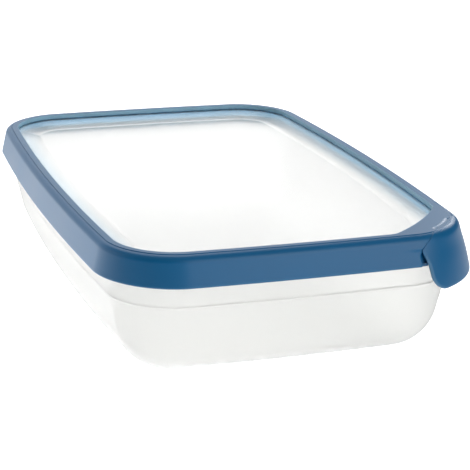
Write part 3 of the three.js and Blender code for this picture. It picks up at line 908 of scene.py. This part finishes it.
def plastic(name, body, painted_light, grain, flow, roughness, drift, bump, mask=None, **fixed):
    """Moulded plastic: tint and roughness drift with the flow, a fine grain bumps the surface, the colour turns to a
    second, painted-light one where the mask is high, and fixed values are set on the shader itself."""
    material = bpy.data.materials.new(name)
    material.use_nodes = True
    tree = material.node_tree
    shader = tree.nodes["Principled BSDF"]
    texture = node(tree, "ShaderNodeGroup", (-700, -100), node_tree=group("Moulded Grain", moulded_grain),
                   Grain_Scale=grain, Flow_Scale=flow, Low_Roughness=roughness[0], High_Roughness=roughness[1])
    tint = node(tree, "ShaderNodeGroup", (-350, 200), node_tree=group("Painted Light Tint", painted_light_tint),
                Body_Colour=(*body, 1.0), Thin_Colour=(*painted_light, 1.0), Drift=drift, Flow=texture.outputs["Flow"])
    if mask:
        reader = node(tree, "ShaderNodeAttribute", (-700, 300), attribute_name=mask)
        feed(tree, tint.inputs["Painted Mask"], reader.outputs["Fac"])
    relief = node(tree, "ShaderNodeBump", (-250, -300), Strength=bump, Distance=GRAIN_RELIEF,
                  Height=texture.outputs["Height"])
    feed(tree, shader.inputs["Base Color"], tint.outputs["Colour"])
    feed(tree, shader.inputs["Roughness"], texture.outputs["Roughness"])
    feed(tree, shader.inputs["Normal"], relief.outputs["Normal"])
    for label, value in fixed.items():
        shader.inputs[label.replace("_", " ")].default_value = value
    return material


def soft_plastic(colours):
    """Satin soft plastic of the rim and tab, one material for both, with painted light at its thin edges and inner
    walls.
    """
    return bpy.data.materials.get("soft_blue_plastic") or plastic(
        "soft_blue_plastic", colours.soft_blue, colours.edge_light_blue, grain=1500.0, flow=22.0,
        roughness=(0.32, 0.4), drift=0.2, bump=0.12, mask="painted_edge_light", IOR=1.42)


def finish_piece(piece, material, slot_name, *nodes):
    """Gives a piece its material and hides the CAD nodes that it stands for; the slot name is not used."""
    piece.data.materials.append(material)
    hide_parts(*nodes)


class CONTAINER_OT_tub(Operator):
    """Build the hazy tub with its shoulder and snap lip"""

    bl_idname = "container.tub"
    bl_label = "Tub"

    def execute(self, context):
        scene = context.scene
        piece = shell_object("tub_shell", tub_grid(scene.container_sizes), close_rows=False, poles=True)
        material = plastic(
            "hazy_tub_plastic", scene.container_colours.hazy_tub, scene.container_colours.hazy_tub, grain=700.0,
            flow=9.0, roughness=(0.3, 0.38), drift=0.04, bump=0.08, Transmission_Weight=0.9, IOR=1.33)
        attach(piece, "tub")
        finish_piece(piece, material, "tub_clear", "tub")
        return {"FINISHED"}


class CONTAINER_OT_lid_panel(Operator):
    """Build the clear lid panel with its sloping band"""

    bl_idname = "container.lid_panel"
    bl_label = "Lid Panel"

    def execute(self, context):
        scene = context.scene
        grid, masks = panel_grid(scene.container_sizes)
        piece = shell_object("lid_window", grid, close_rows=False, poles=True, masks=masks)
        # next to the rim the panel's colour turns to the painted blue of the rim seen through it
        material = plastic(
            "hazy_panel_plastic", scene.container_colours.hazy_panel, scene.container_colours.painted_rim_blue,
            grain=700.0, flow=7.0, roughness=(0.14, 0.2), drift=0.03, bump=0.05, mask="painted_rim_blue",
            Transmission_Weight=0.94, IOR=1.33)
        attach(piece, "lid")
        finish_piece(piece, material, "panel_clear", "lid_panel")
        return {"FINISHED"}


class CONTAINER_OT_rim(Operator):
    """Build the soft snap rim with its bead, skirt, snap, seal and corner pad"""

    bl_idname = "container.rim"
    bl_label = "Soft Rim"

    def execute(self, context):
        scene = context.scene
        grid, masks = rim_grid(scene.container_sizes)
        piece = shell_object("soft_rim", grid, close_rows=True, masks=masks)
        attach(piece, "lid")
        finish_piece(piece, soft_plastic(scene.container_colours), "rim_soft", "lid_rim")
        return {"FINISHED"}


class CONTAINER_OT_tab(Operator):
    """Build the pull tab on the rim's corner"""

    bl_idname = "container.tab"
    bl_label = "Pull Tab"

    def execute(self, context):
        scene = context.scene
        piece = tab_piece("soft_tab", scene.container_sizes)
        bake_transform(piece)
        finish_piece(piece, soft_plastic(scene.container_colours), "rim_soft", "pull_tab")
        return {"FINISHED"}


class CONTAINER_OT_stage(Operator):
    """Build the pale floor, the soft studio light and the camera"""

    bl_idname = "container.stage"
    bl_label = "Stage"

    def execute(self, context):
        scene = context.scene
        studio = scene.studio_settings
        make_floor(studio)
        make_surround(scene, studio)
        make_lights()
        make_camera(scene)
        scene.view_settings.view_transform = "Standard"
        return {"FINISHED"}


def make_floor(studio):
    """Flat square floor just under the tub. It glows nearly white to the eye and through the plastic, and only a
    little as soft fill. Its reflections run from dim at the right to bright at the left."""
    half = 0.5 * studio.floor_size * MM
    corners = np.array([(x, y, -FLOOR_DROP) for x, y in ((-half, -half), (half, -half), (half, half), (-half, half))])
    mesh = bpy.data.meshes.new("studio_floor")
    mesh.from_pydata((corners / MM).tolist(), [], [(0, 1, 2, 3)])
    floor = add_object("studio_floor", mesh)
    material = bpy.data.materials.new("studio_floor")
    material.use_nodes = True
    tree = material.node_tree
    shader = tree.nodes["Principled BSDF"]
    shader.inputs["Base Color"].default_value = (*studio.floor_colour, 1.0)
    shader.inputs["Roughness"].default_value = 0.8
    shader.inputs["Emission Color"].default_value = (1.0, 1.0, 1.0, 1.0)
    spot = node(tree, "ShaderNodeTexCoord", (-1500, -600)).outputs["Object"]
    mirrored = toward(tree, (-1300, -600), spot, (-0.95, -0.3, 0.0), -0.06, 0.13, 0.45, 2.0)
    ray = node(tree, "ShaderNodeLightPath", (-1100, -300)).outputs
    # light that passes through rough plastic counts as both glossy and transmitted, and must not see the reflections
    bounced = maths(tree, "SUBTRACT", (-800, -100), ray["Is Glossy Ray"], ray["Is Transmission Ray"], clamp=True)
    plain = mixed(tree, (-800, -400), ray["Is Diffuse Ray"], FLOOR_GLOW, FLOOR_FILL)
    feed(tree, shader.inputs["Emission Strength"], mixed(tree, (-500, -300), bounced, plain, mirrored))
    mesh.materials.append(material)


def make_surround(scene, studio):
    """White surround. To the eye and through the plastic it is plain white. To reflections and soft fill it is bright
    at the horizon and a little more so at a window behind, and it is dark overhead, on the right, and towards a black
    screen at the front left."""
    world = bpy.data.worlds.new("studio_surround")
    scene.world = world
    world.use_nodes = True
    tree = world.node_tree
    backdrop = tree.nodes["Background"]
    backdrop.inputs["Strength"].default_value = studio.sky_strength
    way = node(tree, "ShaderNodeTexCoord", (-1100, 0)).outputs["Generated"]
    overhead = toward(tree, (-900, 300), way, (0.0, 0.0, 1.0), 0.3, 0.8, 1.15, 0.22)
    right_side = toward(tree, (-900, 0), way, (0.98, 0.2, 0.0), 0.5, 0.85, 1.0, 0.05)
    screen = toward(tree, (-900, -300), way, (-0.7, -0.71, 0.0), 0.35, 0.8, 1.0, 0.0)
    window = toward(tree, (-900, -600), way, (0.2, 0.96, 0.19), 0.93, 0.985, 1.0, 1.2)
    upper = maths(tree, "MULTIPLY", (-500, 150), overhead, right_side)
    lower = maths(tree, "MULTIPLY", (-500, -150), screen, window)
    shaded = maths(tree, "MULTIPLY", (-300, 0), upper, lower)
    ray = node(tree, "ShaderNodeLightPath", (-500, 450)).outputs
    straight = maths(tree, "MAXIMUM", (-300, 450), ray["Is Camera Ray"], ray["Is Transmission Ray"])
    feed(tree, backdrop.inputs["Color"], mixed(tree, (-100, 0), straight, shaded, SURROUND_GLOW))


def make_lights():
    """Soft boxes: a large one overhead and behind, a low one at the front right, and a small one at the right that
    glints on the tab's fold and adds hardly any fill."""
    boxes = (
        ("softbox_top", (0.1, 0.9, 1.5), (0.0, 0.0, 0.05), 1.2, 9.0, 1.0),
        ("softbox_front", (0.45, -0.95, 0.3), (0.0, -0.1, 0.05), 0.6, 2.2, 1.0),
        ("glint", (0.55, 0.53, 0.38), (0.08, -0.125, 0.057), 0.15, 0.85, 0.15),
    )
    for name, place, target, size, power, fill in boxes:
        light = bpy.data.lights.new(name, "AREA")
        light.shape = "SQUARE"
        light.size = size
        light.energy = power
        light.diffuse_factor = fill
        lamp = add_object(name, light)
        lamp.location = place
        lamp.rotation_euler = (Vector(target) - Vector(place)).to_track_quat("-Z", "Y").to_euler()


def make_camera(scene):
    """Long lens from the front left, a little above the lid, tipped slightly to one side."""
    yaw, pitch, roll = CAMERA_TURN
    forward = Vector((math.sin(yaw) * math.cos(pitch), math.cos(yaw) * math.cos(pitch), -math.sin(pitch)))
    level = Vector((math.cos(yaw), -math.sin(yaw), 0.0))
    upright = level.cross(forward)
    right = level * math.cos(roll) + upright * math.sin(roll)
    up = -level * math.sin(roll) + upright * math.cos(roll)
    camera = bpy.data.cameras.new("studio_camera")
    camera.sensor_width = 36.0
    camera.lens = LENS
    camera.clip_start = 0.01
    camera.clip_end = 50.0
    viewer = add_object("studio_camera", camera)
    columns = Matrix((right, up, -forward)).transposed()
    viewer.matrix_world = Matrix.Translation(CAMERA_PLACE) @ columns.to_4x4()
    scene.camera = viewer


class CONTAINER_PT_sidebar(Panel):
    """Sizes, colours and the build steps"""

    bl_idname = "CONTAINER_PT_sidebar"
    bl_label = "Food Container"
    bl_space_type = "VIEW_3D"
    bl_region_type = "UI"
    bl_category = "Container"

    def draw(self, context):
        layout = self.layout
        for settings in (context.scene.container_sizes, context.scene.container_colours,
                         context.scene.studio_settings):
            column = layout.column()
            for label in settings.__annotations__:
                column.prop(settings, label)
        for operator in OPERATORS:
            layout.operator(operator.bl_idname)


OPERATORS = (CONTAINER_OT_stage, CONTAINER_OT_tub, CONTAINER_OT_lid_panel, CONTAINER_OT_rim, CONTAINER_OT_tab)
CLASSES = (ContainerSizes, ContainerColours, StudioSettings, *OPERATORS, CONTAINER_PT_sidebar)


def register():
    for cls in CLASSES:
        bpy.utils.register_class(cls)
    bpy.types.Scene.container_sizes = PointerProperty(type=ContainerSizes)
    bpy.types.Scene.container_colours = PointerProperty(type=ContainerColours)
    bpy.types.Scene.studio_settings = PointerProperty(type=StudioSettings)


def unregister():
    del bpy.types.Scene.studio_settings
    del bpy.types.Scene.container_colours
    del bpy.types.Scene.container_sizes
    for cls in reversed(CLASSES):
        bpy.utils.unregister_class(cls)


def main():
    register()
    bpy.ops.container.stage()
    bpy.ops.container.tub()
    bpy.ops.container.lid_panel()
    bpy.ops.container.rim()
    bpy.ops.container.tab()


if __name__ == "__main__":
    main()
